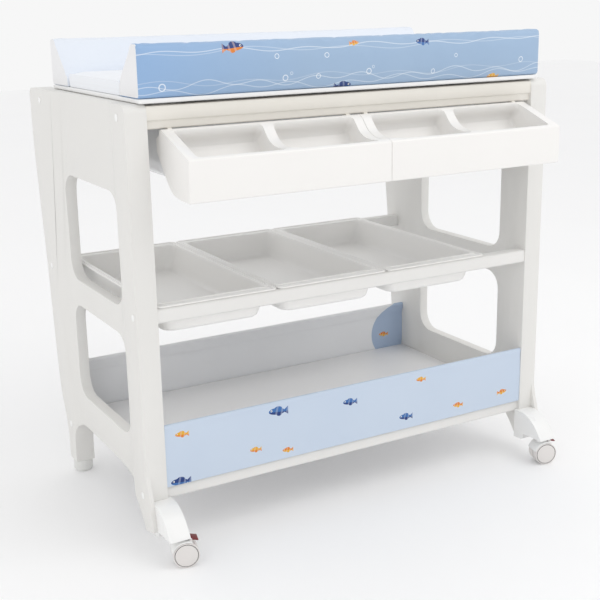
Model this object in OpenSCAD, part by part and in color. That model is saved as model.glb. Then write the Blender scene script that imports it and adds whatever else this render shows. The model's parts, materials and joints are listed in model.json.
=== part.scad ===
/* [Overall size] */
// Width over the outer faces of the two side panels
overall_w = 960; // [860:10:1100]
// Depth of a side panel, from its front post's face to its rear edge
frame_depth = 570; // [530:5:640]
// Height of the side panels' top edge above the floor
panel_top = 857; // [800:1:950]
// Height of the middle shelf rails' top above the floor
shelf_top = 484; // [440:1:540]
// Height of the bottom board's underside above the floor
board_z = 128; // [122:1:150]

/* [Side panels] */
// Thickness of a side panel's posts
panel_t = 42; // [34:1:54]
// Thickness of the recessed plate between the posts
plate_t = 22; // [14:1:26]
// Depth of the outer face's recess between the posts
outer_recess = 12; // [6:1:14]
// Width of the front post, front to back
front_post_w = 76; // [60:1:90]
// Width of the rear post, front to back
rear_post_w = 124; // [100:1:140]
// Corner radius of the windows
window_r = 42; // [20:1:55]
// Distance from the front face to the windows
window_front = 97; // [92:1:120]
// Distance from the rear edge to the windows
window_rear = 168; // [150:1:190]
// Radius of a side panel's top corners
top_corner_r = 14; // [4:1:30]
// How far the rear edge comes forward from the top to the foot
leg_lean = 90; // [70:1:100]
// How far the panels reach behind the rails
rear_overhang = 48; // [40:1:60]

/* [Rails and board] */
// Depth of the top rails, front to back
top_rail_d = 44; // [36:1:56]
// Height of the top rails' upper band
apron_band_h = 26; // [18:1:32]
// Height of the top rails' lower band
apron_low_h = 15; // [10:1:20]
// How far the lower band sits behind the upper one
apron_step = 4; // [2:0.5:8]
// Depth of the shelf and bottom rails, front to back
rail_d = 28; // [22:1:36]
// Height of the shelf rails
shelf_rail_h = 28; // [22:1:40]
// Height of the bottom rails
bottom_rail_h = 26; // [22:1:30]
// Thickness of the bottom board
board_t = 12; // [8:1:18]
// Diameter of the rods in the fabric panels' hems
fabric_rod_d = 8; // [6:0.5:12]
// Height of the fabric panels above the board's underside
fabric_h = 126; // [90:1:170]

/* [Changing top] */
// Thickness of the changing board
top_board_t = 8; // [6:0.5:15]
// How far the changing board stays inside each side panel's outer face
top_inset = 28; // [10:1:38]
// Depth of the changing board, front to back
top_depth = 488; // [440:1:500]
// Height of the bolsters
bolster_h = 95; // [70:1:120]
// Depth of a bolster at its foot
bolster_foot = 98; // [70:1:130]
// Depth of a bolster at its top
bolster_crest = 32; // [20:1:50]
// Thickness of the mat between the bolsters
mat_t = 27; // [15:1:40]

/* [Bath] */
// Depth of the tub below its rim
tub_depth = 148; // [110:1:200]
// Wall thickness of the tub
tub_wall = 3; // [2:0.5:5]
// Corner radius of the tub
tub_r = 70; // [30:1:100]
// Distance from a side panel's inner face to the tub's wall
tub_inset_x = 66; // [40:1:110]
// Radius of the drain opening
drain_r = 19; // [14:0.5:25]

/* [Organiser trays] */
// Gap between a tray's end and the side panel
tray_end_gap = 24; // [14:1:40]
// Reach of the trays in front of the posts
tray_reach = 117; // [100:1:140]
// Height of a tray's front face
tray_front_h = 75; // [60:1:90]
// Thickness of a tray's end walls
tray_end_wall = 20; // [8:1:30]
// Thickness of a tray's middle divider
tray_divider = 22; // [8:1:34]
// Diameter of the rods on which the trays hang
tray_rod_d = 8; // [6:0.5:10]

/* [Storage bins] */
// Free width left on the middle shelf beside the bins
shelf_spare = 108; // [10:1:140]
// Height of a bin below its rim
bin_depth = 58; // [36:1:90]
// Wall thickness of a bin
bin_wall = 3; // [2:0.5:4]
// Thickness of a bin's rim
bin_rim_t = 3.5; // [2:0.5:6]
// How far each side wall of a bin slopes inwards
bin_draft = 14; // [4:1:20]

/* [Castors and feet] */
// Diameter of the wheels
wheel_d = 50; // [44:1:52]
// Width of each wheel
wheel_w = 14; // [12:0.5:15]
// Distance from the stem's axis to the wheels' axle
castor_trail = 8; // [6:0.5:9]
// Diameter of the castor's stem
stem_d = 8; // [6:0.5:11]
// Diameter of the wheels' axle
axle_d = 6; // [5:0.5:8]
// Turn of the castors away from straight at rest
castor_turn = 15; // [0:1:25]
// Height of the rear feet
foot_h = 27; // [20:1:40]

/* [Fits] */
// Radial clearance of turning fits
running_fit = 0.05; // [0.02:0.01:0.1]
// Radial clearance around the bolts
bolt_fit = 0.1; // [0.05:0.05:0.5]
// Gap between loose pieces that rest on each other
seat_gap = 0.3; // [0.2:0.1:1]

/* [Hidden] */
$fn = 48;
cut = 1;

// The frame stands with its bounding box centred on the origin, front towards -Y.
front_y = (tray_reach - frame_depth) / 2;
inner_w = overall_w - 2 * panel_t;
recess_inner_x = outer_recess + plate_t;

// Posts and legs of a side panel, as (distance from the front face, height)
post_bottom = 107;
front_toe_z = 50;
skin_t = 8;
bracket_back = 15;
arch_z = 130;
leg_w = 44;
leg_back = frame_depth - leg_lean;
lean_top = panel_top - 110;
front_arch = [[bracket_back, front_toe_z - 5], [24, 62], [41, 86], [60, 99], [86, 113], [114, 123],
    [160, arch_z]];

// Windows
window_w = frame_depth - window_front - window_rear;
head_band = 167;
shelf_band = 56;
foot_band = 76;
high_window = [shelf_top - 16, panel_top - head_band];
low_window = [board_z + foot_band, high_window[0] - shelf_band];

// Rails
rail_front = 2;
apron_top = panel_top - 4;
apron_h = apron_band_h + apron_low_h;
apron_bottom = apron_top - apron_h;
rear_rail_back = frame_depth - rear_overhang;
bottom_front_y = 8;
rail_clear = 1;
bottom_rear_y = leg_back - 10 - rail_d;

// Bolts: (distance from the front face, height) of each axis
bolt_d = 6;
bolt_head_d = 12;
bolt_head_t = 4;
bolt_length = 70;
bolt_sink = 6;
cap_proud = 1;
front_bolts = [[rail_front + top_rail_d - 8, apron_top - 19],
               [rail_front + rail_d / 2, shelf_top - 12],
               [bottom_front_y + rail_d / 2, board_z - bottom_rail_h / 2]];
rear_bolts = [[rear_rail_back - top_rail_d / 2, apron_top - 19],
              [rear_rail_back - rail_d / 2, shelf_top - 12],
              [bottom_rear_y + rail_d / 2, board_z - bottom_rail_h / 2]];

// Changing top and its hinges
top_z = panel_top + 1;
top_front = -2.5;
top_w = overall_w - 2 * top_inset;
mat_z = top_z + top_board_t;
hinge_y = top_front + top_depth + 6;
hinge_z = top_z + 1;
knuckle_r = 4;
hinge_pin_r = 2;
hinge_leaf_t = 1.5;
hinge_l = 72;
hinge_x = inner_w / 2 - 110;

// Tub
rim_t = 3;
tub_front = rail_front + top_rail_d + 14;
tub_back = rear_rail_back - top_rail_d - 14;
tub_rim_overlap = 20;
tub_x = inner_w / 2 - tub_inset_x;
tub_floor = apron_top - tub_depth;
drain_x = -tub_x + tub_r + 30;
drain_y = (tub_front + tub_back) / 2;
drain_wall = 3;
drain_drop = 25;

// Trays
tray_gap = 1;
tray_w = (inner_w - 2 * tray_end_gap - tray_gap) / 2;
tray_x = tray_w / 2 + tray_gap / 2;
tray_pivot = [8, apron_bottom - 6];
tray_bead_r = tray_rod_d / 2 + 1.7;
tray_drop = 117;
tray_floor = apron_bottom - tray_drop;
tray_lip_z = tray_floor + tray_front_h;
tray_outline = [[-tray_reach, tray_floor], [-tray_reach, tray_lip_z], [-2, apron_bottom],
                [3, apron_bottom - 1], [8, apron_bottom - 11.5], [21, apron_bottom - 18],
                [21, apron_bottom - 41], [-36, tray_floor + 9], [-69, tray_floor + 2]];
tray_wall = 8;
tray_base_t = 6;
tray_pocket = [[tray_wall - tray_reach, tray_floor + tray_base_t], [tray_wall - tray_reach,
    apron_bottom + 20],
               [-tray_wall, apron_bottom + 20], [-tray_wall, apron_bottom - 14], [12, apron_bottom - 27],
               [12, apron_bottom - 38], [-38, tray_floor + 10 + tray_base_t], [-68,
                   tray_floor + tray_base_t]];
lug_w = 8;
lug_x = tray_w / 2 - 20;
lug_clear = 1;

// Bins
bin_gap = 2;
bin_pitch = (inner_w - shelf_spare) / 3;
bin_rim_w = bin_pitch - bin_gap;
bin_rim_z = shelf_top + seat_gap;
bin_front = rail_front + rail_d + 2;
bin_back = rear_rail_back - rail_d - 2;
bin_rim_side = 10;
bin_x = [for (i = [0:2]) -inner_w / 2 + bin_pitch * (i + 0.5)];

// Castors
bracket_in = panel_t + 8;
stem_x = 36;
stem_y = -66;
seat_z = 57;
stem_l = 16;
stem_collar = 4;
web_t = 8;
side_gap = 0.5;
fender_t = 2;
fender_in = wheel_d / 2 + 1;
fender_skirt = 8;
hood_top = seat_z - 1;
tab_pivot = [10, hood_top - 2];
tab_w = 20;
tab_hub_r = 2;
tab_pin_r = 1;
ear_t = 3;
ear_r = 2.5;
hood_web = [14, 12];

module at_front() {
    translate([0, front_y, 0]) children();
}

// Extrudes an outline drawn as (front to back, height) from x0 to x1
module slab(x0, x1) {
    translate([x0, 0, 0]) rotate([90, 0, 90]) linear_extrude(x1 - x0) children();
}

// A box given by its lowest and highest corners
module block(low, high) {
    translate(low) cube(high - low);
}

// A cylinder along X, given by its axis as (front to back, height)
module rod_x(x0, x1, place, r) {
    translate([x0, place[0], place[1]]) rotate([0, 90, 0]) cylinder(r = r, h = x1 - x0);
}

module rounded_rect(w, h, r) {
    translate([r, 0]) square([w - 2 * r, h]);
    translate([0, r]) square([w, h - 2 * r]);
    for (x = [r, w - r], y = [r, h - r]) translate([x, y]) circle(r);
}

// A left-hand piece is drawn from the left panel's outer face; side = 1 mirrors it to the right
module on_side(side) {
    mirror([side > 0 ? 1 : 0, 0, 0]) translate([-overall_w / 2, 0, 0]) children();
}

// Side panels

// The rear edge as (share of the lean, share of the height below the lean's top)
rear_curve = [[0, 0], [0.06, 0.093], [0.18, 0.225], [0.32, 0.379], [0.44, 0.565], [0.58, 0.743],
    [0.72, 0.815], [0.89, 0.865], [0.98, 0.912], [1, 0.954], [1, 1]];

function leg_edge(shift) =
    [for (p = rear_curve) [frame_depth - shift - leg_lean * p[0], lean_top - (lean_top - foot_h) * p[1]]];

module panel_outline() {
    polygon(concat(
        [[0, post_bottom]],
        [[0, panel_top - top_corner_r], [top_corner_r * 0.3, panel_top - top_corner_r * 0.3],
            [top_corner_r, panel_top]],
        [[frame_depth - top_corner_r, panel_top],
         [frame_depth - top_corner_r * 0.3, panel_top - top_corner_r * 0.3], [frame_depth,
             panel_top - top_corner_r]],
        leg_edge(0),
        [[leg_back - leg_w, foot_h], [leg_back - leg_w, arch_z - 40],
         [leg_back - leg_w - 12, arch_z - 12], [leg_back - leg_w - 40, arch_z]],
        [for (i = [len(front_arch) - 1:-1:0]) front_arch[i]],
        [[bracket_back, post_bottom]]));
}

module front_post_band() {
    translate([-cut, front_toe_z - 20]) square([front_post_w + cut, panel_top]);
}

module rear_post_band() {
    top = [[frame_depth + cut, panel_top + cut], [frame_depth - rear_post_w, panel_top + cut]];
    inner = leg_edge(rear_post_w);
    outer = leg_edge(-cut);
    polygon(concat(top, inner, [for (i = [len(outer) - 1:-1:0]) outer[i]]));
}

module front_skin_outline() {
    polygon([[0, post_bottom + 55], [-7, post_bottom + 28], [-15, post_bottom + 4], [-24, front_toe_z + 7],
             [-20, front_toe_z + 2], [bracket_back + 1, front_toe_z - 5], [bracket_back + 1,
                 post_bottom + 55]]);
}

module window(z_range) {
    translate([window_front, z_range[0]])
        rounded_rect(window_w, z_range[1] - z_range[0], window_r);
}

module panel_bolt_bores(places) {
    for (p = places) {
        rod_x(-cut, panel_t + cut, p, bolt_d / 2 + bolt_fit);
        rod_x(-cut, bolt_sink, p, bolt_head_d / 2 + bolt_fit);
    }
}

module side_panel(side) {
    color("gainsboro") at_front() on_side(side) difference() {
        union() {
            slab(outer_recess, recess_inner_x) panel_outline();
            slab(0, panel_t) intersection() { panel_outline(); front_post_band(); }
            slab(0, panel_t) intersection() { panel_outline(); rear_post_band(); }
            slab(0, skin_t) front_skin_outline();
        }
        slab(-cut, panel_t + cut) window(high_window);
        slab(-cut, panel_t + cut) window(low_window);
        panel_bolt_bores(concat(front_bolts, rear_bolts));
    }
}

module side_panel_left() { side_panel(-1); }
module side_panel_right() { side_panel(1); }

// Rails

module rail_bolt_bore(place) {
    reach = bolt_length + bolt_sink - bolt_head_t;
    for (s = [-1, 1]) {
        near = s * (inner_w / 2 - reach + panel_t - cut);
        far = s * (inner_w / 2 + cut);
        rod_x(min(near, far), max(near, far), place, bolt_d / 2 + bolt_fit);
    }
}

module top_rail_outline() {
    translate([0, apron_bottom + apron_low_h]) square([top_rail_d, apron_band_h]);
    translate([apron_step, apron_bottom]) square([top_rail_d - apron_step, apron_low_h + cut]);
}

module tray_lug(x) {
    block([x - lug_w / 2, tray_pivot[0] - 5, tray_pivot[1] - 6],
          [x + lug_w / 2, tray_pivot[0] + 10, apron_bottom + cut]);
}

module front_top_rail() {
    color("ivory") at_front() difference() {
        union() {
            slab(-inner_w / 2, inner_w / 2) translate([rail_front, 0]) top_rail_outline();
            for (s = [-1, 1], e = [-1, 1]) tray_lug(s * tray_x + e * lug_x);
        }
        rail_bolt_bore(front_bolts[0]);
        for (s = [-1, 1])
            rod_x(s * tray_x - lug_x - lug_w, s * tray_x + lug_x + lug_w, tray_pivot,
                tray_rod_d / 2 + running_fit);
    }
}

module rear_top_rail() {
    color("ivory") at_front() difference() {
        slab(-inner_w / 2, inner_w / 2)
            translate([rear_rail_back, 0]) mirror([1, 0]) top_rail_outline();
        rail_bolt_bore(rear_bolts[0]);
    }
}

module plain_rail(y, z, h, place) {
    color("whitesmoke") at_front() difference() {
        block([-inner_w / 2, y, z], [inner_w / 2, y + rail_d, z + h]);
        rail_bolt_bore(place);
    }
}

module shelf_front_rail() { plain_rail(rail_front, shelf_top - shelf_rail_h, shelf_rail_h,
    front_bolts[1]); }
module shelf_rear_rail() { plain_rail(rear_rail_back - rail_d, shelf_top - shelf_rail_h, shelf_rail_h,
    rear_bolts[1]); }
module bottom_front_rail() { plain_rail(bottom_front_y, board_z - bottom_rail_h, bottom_rail_h,
    front_bolts[2]); }
module bottom_rear_rail() { plain_rail(bottom_rear_y, board_z - bottom_rail_h, bottom_rail_h,
    rear_bolts[2]); }

// Bottom shelf

board_side_gap = 1;
board_front = bottom_front_y;
board_back = bottom_rear_y + rail_d;
fabric_t = 3;
fabric_front_y = rail_front;
fabric_rear_y = board_back + 1;
fabric_side_gap = 1;
rod_z = board_z + fabric_h - fabric_rod_d / 2;

module bottom_board() {
    color("lightgray") at_front()
        block([-inner_w / 2 + board_side_gap, board_front, board_z],
              [inner_w / 2 - board_side_gap, board_back, board_z + board_t]);
}

module fabric_panel(y) {
    color("lightsteelblue") at_front()
        block([-inner_w / 2 + fabric_side_gap, y, board_z + seat_gap],
              [inner_w / 2 - fabric_side_gap, y + fabric_t, rod_z - fabric_rod_d / 2 - seat_gap]);
}

module fabric_rod(y) {
    color("silver") at_front() rod_x(-inner_w / 2, inner_w / 2, [y + fabric_t / 2, rod_z],
        fabric_rod_d / 2);
}

module fabric_front_panel() { fabric_panel(fabric_front_y); }
module fabric_rear_panel() { fabric_panel(fabric_rear_y); }
module fabric_rod_front() { fabric_rod(fabric_front_y + fabric_rod_d / 2 - fabric_t / 2); }
module fabric_rod_rear() { fabric_rod(fabric_rear_y); }

// Castor brackets and feet

bracket_nose = stem_y - 19;
bracket_outline = [[bracket_back, post_bottom], [-16, post_bottom], [-34, post_bottom - 4], [-52,
    post_bottom - 13],
                   [-67, post_bottom - 26], [-78, post_bottom - 40], [bracket_nose, seat_z],
                   [stem_y + 40, seat_z], [stem_y + 43, seat_z - 15], [bracket_back, seat_z - 17]];

module castor_bracket(side) {
    color("white") at_front() on_side(side) difference() {
        slab(skin_t, bracket_in) polygon(bracket_outline);
        block([panel_t, bottom_front_y - rail_clear, 0], [bracket_in + cut, bracket_back + cut,
            post_bottom + cut]);
        translate([stem_x, stem_y, seat_z - cut])
            cylinder(r = stem_d / 2 + running_fit, h = stem_l + cut + 1);
    }
}

module castor_bracket_left() { castor_bracket(-1); }
module castor_bracket_right() { castor_bracket(1); }

foot_pad_r = 19;
foot_cup_r = 21;

module rear_foot(side) {
    color("white") at_front() on_side(side) translate([panel_t / 2, leg_back - leg_w / 2, 0]) {
        cylinder(r = foot_pad_r, h = 4);
        translate([0, 0, 4]) cylinder(r = foot_cup_r, h = foot_h - 4);
    }
}

module rear_foot_left() { rear_foot(-1); }
module rear_foot_right() { rear_foot(1); }

// Fasteners

module frame_bolts(side) {
    color("silver") at_front() on_side(side)
        for (p = concat(front_bolts, rear_bolts)) {
            rod_x(bolt_sink - bolt_head_t, bolt_sink, p, bolt_head_d / 2);
            rod_x(bolt_sink - cut, bolt_sink - bolt_head_t + bolt_length, p, bolt_d / 2);
        }
}

module bolt_caps(side) {
    cap_back = bolt_sink - bolt_head_t - seat_gap;
    color("white") at_front() on_side(side)
        for (p = concat(front_bolts, rear_bolts)) {
            rod_x(-cap_proud, 0, p, bolt_head_d / 2 + 1);
            rod_x(-cap_proud / 2, cap_back, p, bolt_head_d / 2);
        }
}

module frame_bolts_left() { frame_bolts(-1); }
module frame_bolts_right() { frame_bolts(1); }
module bolt_caps_left() { bolt_caps(-1); }
module bolt_caps_right() { bolt_caps(1); }

// Hinges of the changing top

knuckle_gap = 0.5;
knuckle_l = hinge_l / 3 - knuckle_gap;

module hinge_fixed_leaves() {
    color("silver") at_front() for (s = [-1, 1]) translate([s * hinge_x, 0, 0]) {
        block([-hinge_l / 2, hinge_y + knuckle_r + 1, apron_top],
              [hinge_l / 2, rear_rail_back - 4, apron_top + hinge_leaf_t]);
        for (e = [-1, 1]) {
            low = e > 0 ? hinge_l / 2 - knuckle_l : -hinge_l / 2;
            difference() {
                union() {
                    rod_x(low, low + knuckle_l, [hinge_y, hinge_z], knuckle_r);
                    block([low, hinge_y, apron_top], [low + knuckle_l, hinge_y + knuckle_r + 2, hinge_z]);
                }
                rod_x(low - cut, low + knuckle_l + cut, [hinge_y, hinge_z], hinge_pin_r + running_fit);
            }
        }
    }
}

module hinge_moving_leaves() {
    half = knuckle_l / 2;
    color("silver") at_front() for (s = [-1, 1]) translate([s * hinge_x, 0, 0]) difference() {
        union() {
            block([-hinge_l / 2, hinge_y - 34, top_z - hinge_leaf_t], [hinge_l / 2,
                hinge_y - knuckle_r - 1, top_z]);
            rod_x(-half, half, [hinge_y, hinge_z], knuckle_r);
            block([-half, hinge_y - knuckle_r - 2, top_z - hinge_leaf_t], [half, hinge_y, top_z]);
        }
        rod_x(-half - cut, half + cut, [hinge_y, hinge_z], hinge_pin_r + running_fit);
    }
}

module hinge_pins() {
    color("dimgray") at_front() for (s = [-1, 1])
        rod_x(s * hinge_x - hinge_l / 2, s * hinge_x + hinge_l / 2, [hinge_y, hinge_z], hinge_pin_r);
}

// Changing top

module changing_board() {
    color("white") at_front()
        block([-top_w / 2, top_front, top_z], [top_w / 2, top_front + top_depth, top_z + top_board_t]);
}

module bolster_outline() {
    polygon([[0, 0], [0, bolster_h - 4], [3, bolster_h], [bolster_crest - 4, bolster_h],
             [bolster_crest, bolster_h - 4], [bolster_foot - 12, mat_t + 6], [bolster_foot, 0]]);
}

module bolster_front() {
    color("steelblue") at_front()
        slab(-top_w / 2, top_w / 2) translate([top_front, mat_z]) bolster_outline();
}

module bolster_rear() {
    color("lightsteelblue") at_front()
        slab(-top_w / 2, top_w / 2) translate([top_front + top_depth, mat_z]) mirror([1,
            0]) bolster_outline();
}

module mat_pad() {
    side = top_front + bolster_foot + seat_gap;
    color("aliceblue") at_front()
        block([-top_w / 2 + 4, side, mat_z], [top_w / 2 - 4, 2 * top_front + top_depth - side,
            mat_z + mat_t]);
}

// Bath tub and plug

module tub_plan(grow) {
    translate([-tub_x - grow, tub_front - grow])
        rounded_rect(2 * (tub_x + grow), tub_back - tub_front + 2 * grow, tub_r + grow);
}

module bath_tub() {
    color("azure") at_front() difference() {
        union() {
            translate([0, 0, tub_floor]) linear_extrude(tub_depth + rim_t) tub_plan(0);
            translate([0, 0, apron_top]) linear_extrude(rim_t) tub_plan(tub_rim_overlap);
            translate([drain_x, drain_y, tub_floor - drain_drop])
                cylinder(r = drain_r + drain_wall, h = drain_drop + cut);
        }
        translate([0, 0, tub_floor + tub_wall]) linear_extrude(tub_depth + rim_t) tub_plan(-tub_wall);
        translate([drain_x, drain_y, tub_floor - drain_drop - cut]) cylinder(r = drain_r,
            h = drain_drop + 3 * tub_wall);
    }
}

module drain_plug() {
    color("lightgray") at_front() translate([drain_x, drain_y, tub_floor]) {
        translate([0, 0, -6]) cylinder(r = drain_r - running_fit, h = 6 + tub_wall + seat_gap);
        translate([0, 0, tub_wall + seat_gap]) cylinder(r = drain_r + 6, h = 3);
        translate([0, 0, tub_wall + 3]) cylinder(r = 6, h = 10);
    }
}

// Organiser trays

compartment_w = (tray_w - 2 * tray_end_wall - tray_divider) / 2;

module organiser_tray(side) {
    half = tray_w / 2;
    color("snow") at_front() translate([side * tray_x, 0, 0]) difference() {
        union() {
            slab(-half, half) polygon(tray_outline);
            rod_x(-lug_x + lug_w / 2 + lug_clear, lug_x - lug_w / 2 - lug_clear, tray_pivot, tray_bead_r);
            block([-lug_x + lug_w, tray_pivot[0], apron_bottom - seat_gap - 4],
                  [lug_x - lug_w, tray_pivot[0] + 18, apron_bottom - seat_gap]);
            block([-lug_x + lug_w, 15, apron_bottom - 20], [lug_x - lug_w, 21,
                apron_bottom - seat_gap - 3]);
        }
        for (e = [-1, 1])
            translate([e * (compartment_w + tray_divider) / 2, 0, 0])
                slab(-compartment_w / 2, compartment_w / 2) polygon(tray_pocket);
        rod_x(-half + 8, half - 8, tray_pivot, tray_rod_d / 2 + running_fit);
        for (e = [-1, 1])
            block([e * lug_x - lug_w / 2 - lug_clear, -4, apron_bottom - 19],
                  [e * lug_x + lug_w / 2 + lug_clear, 24, apron_bottom + cut]);
    }
}

module organiser_tray_left() { organiser_tray(-1); }
module organiser_tray_right() { organiser_tray(1); }

module tray_hinge_rods() {
    color("silver") at_front() for (s = [-1, 1])
        rod_x(s * tray_x - lug_x - lug_w / 2, s * tray_x + lug_x + lug_w / 2, tray_pivot, tray_rod_d / 2);
}

// Storage bins

module bin_section(wall) {
    top = bin_rim_w / 2 - bin_rim_side - wall;
    foot = top - bin_draft;
    corner = 8;
    floor_z = bin_rim_z - bin_depth + wall;
    mouth_z = bin_rim_z + bin_rim_t + (wall > 0 ? cut : 0);
    polygon([[-top, mouth_z], [-foot - 2, floor_z + corner], [-foot + corner, floor_z],
             [foot - corner, floor_z], [foot + 2, floor_z + corner], [top, mouth_z]]);
}

module storage_bin(place) {
    color("whitesmoke") at_front() translate([bin_x[place], 0, 0]) difference() {
        union() {
            translate([0, bin_back, 0]) rotate([90, 0,
                0]) linear_extrude(bin_back - bin_front) bin_section(0);
            block([-bin_rim_w / 2, rail_front + 3, bin_rim_z], [bin_rim_w / 2, rear_rail_back - 3,
                bin_rim_z + bin_rim_t]);
        }
        translate([0, bin_back - bin_wall, 0]) rotate([90, 0, 0])
            linear_extrude(bin_back - bin_front - 2 * bin_wall) bin_section(bin_wall);
    }
}

module storage_bin_left() { storage_bin(0); }
module storage_bin_centre() { storage_bin(1); }
module storage_bin_right() { storage_bin(2); }

// Castors: drawn with the wheels' axle along Y, the stem's axis at the origin, then turned

wheel_r = wheel_d / 2;
castor_half = web_t / 2 + side_gap + wheel_w;

module at_castor(side) {
    at_front() translate([side * (overall_w / 2 - stem_x), stem_y, 0])
        rotate([0, 0, -castor_turn]) children();
}

// A cylinder along Y around the wheels' axle
module disc_y(y0, y1, r) {
    translate([castor_trail, y1, wheel_r]) rotate([90, 0, 0]) cylinder(r = r, h = y1 - y0);
}

module castor_hood(side) {
    color("white") at_castor(side) difference() {
        union() {
            disc_y(-web_t / 2, web_t / 2, wheel_r - 3);
            block([castor_trail - hood_web[0], -web_t / 2, wheel_r],
                  [castor_trail + hood_web[1], web_t / 2, wheel_d + 1]);
            intersection() {
                difference() {
                    disc_y(-castor_half, castor_half, fender_in + fender_t);
                    disc_y(-castor_half - cut, -web_t / 2, fender_in);
                    disc_y(web_t / 2, castor_half + cut, fender_in);
                }
                block([castor_trail - wheel_d, -wheel_d, wheel_r + fender_skirt],
                      [castor_trail + tab_pivot[0] + ear_r, wheel_d, wheel_d * 2]);
            }
            translate([0, 0, wheel_r]) cylinder(r = stem_d / 2, h = seat_z + stem_l - wheel_r);
            translate([0, 0, wheel_d]) cylinder(r = stem_d / 2 + stem_collar, h = hood_top - wheel_d);
            for (e = [-1, 1]) {
                low = e > 0 ? tab_w / 2 + seat_gap : -tab_w / 2 - seat_gap - ear_t;
                block([castor_trail + tab_pivot[0] - ear_r, low, wheel_d - 2],
                      [castor_trail + tab_pivot[0] + ear_r, low + ear_t, tab_pivot[1]]);
                translate([castor_trail + tab_pivot[0], low + ear_t, tab_pivot[1]])
                    rotate([90, 0, 0]) cylinder(r = ear_r, h = ear_t);
            }
        }
        disc_y(-web_t, web_t, axle_d / 2 + running_fit);
        disc_y(-castor_half - cut, -web_t / 2, fender_in);
        disc_y(web_t / 2, castor_half + cut, fender_in);
        translate([castor_trail + tab_pivot[0], tab_w, tab_pivot[1]])
            rotate([90, 0, 0]) cylinder(r = tab_pin_r + running_fit, h = 2 * tab_w);
    }
}

module castor_axle(side) {
    color("silver") at_castor(side) disc_y(-castor_half + 2, castor_half - 2, axle_d / 2);
}

module castor_wheel(side, back) {
    near = web_t / 2 + side_gap;
    low = back ? near : -near - wheel_w;
    bore_low = back ? near - cut : -near - wheel_w + 1.8;
    color("gainsboro") at_castor(side) difference() {
        disc_y(low, low + wheel_w, wheel_r);
        disc_y(bore_low, bore_low + wheel_w - 0.8, axle_d / 2 + running_fit);
        disc_y(back ? low + wheel_w - 0.8 : low - cut, back ? low + wheel_w + cut : low + 0.8, wheel_r - 2);
    }
    color("whitesmoke") at_castor(side)
        disc_y(back ? low + wheel_w - 1 : low, back ? low + wheel_w : low + 1, wheel_r - 3);
}

module brake_tab(side) {
    color("darkred") at_castor(side) {
        translate([castor_trail, tab_w / 2, 0]) rotate([90, 0, 0]) linear_extrude(tab_w)
            polygon([[tab_pivot[0], tab_pivot[1] + 2], [tab_pivot[0] + 14, tab_pivot[1] - 1],
                     [tab_pivot[0] + 15, tab_pivot[1] - 4], [tab_pivot[0], tab_pivot[1] - 1]]);
        translate([castor_trail + tab_pivot[0], tab_w / 2, tab_pivot[1]])
            rotate([90, 0, 0]) cylinder(r = tab_hub_r, h = tab_w);
        translate([castor_trail + tab_pivot[0], tab_w / 2 + ear_t, tab_pivot[1]])
            rotate([90, 0, 0]) cylinder(r = tab_pin_r, h = tab_w + 2 * ear_t);
    }
}

module castor_hood_left() { castor_hood(-1); }
module castor_hood_right() { castor_hood(1); }
module castor_axle_left() { castor_axle(-1); }
module castor_axle_right() { castor_axle(1); }
module wheel_front_left() { castor_wheel(-1, false); }
module wheel_back_left() { castor_wheel(-1, true); }
module wheel_front_right() { castor_wheel(1, false); }
module wheel_back_right() { castor_wheel(1, true); }
module brake_tab_left() { brake_tab(-1); }
module brake_tab_right() { brake_tab(1); }

side_panel_left();
side_panel_right();
front_top_rail();
rear_top_rail();
shelf_front_rail();
shelf_rear_rail();
bottom_front_rail();
bottom_rear_rail();
bottom_board();
fabric_front_panel();
fabric_rear_panel();
fabric_rod_front();
fabric_rod_rear();
castor_bracket_left();
castor_bracket_right();
rear_foot_left();
rear_foot_right();
frame_bolts_left();
frame_bolts_right();
bolt_caps_left();
bolt_caps_right();
hinge_fixed_leaves();
hinge_pins();
hinge_moving_leaves();
tray_hinge_rods();
bath_tub();
drain_plug();
changing_board();
mat_pad();
bolster_front();
bolster_rear();
organiser_tray_left();
organiser_tray_right();
storage_bin_left();
storage_bin_centre();
storage_bin_right();
castor_hood_left();
castor_hood_right();
castor_axle_left();
castor_axle_right();
wheel_front_left();
wheel_back_left();
wheel_front_right();
wheel_back_right();
brake_tab_left();
brake_tab_right();
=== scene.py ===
# %% [markdown]
# A bath and changing table on castors: two moulded side panels joined by rails, a padded top that hinges
# up over a tub, two organiser trays, three bins and a bottom shelf between printed fabric panels.
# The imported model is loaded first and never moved. It says where every part is; this file gives the
# parts their finished shapes and finishes. Lengths are in metres.

# %% Load the frame
import json
import math

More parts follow.
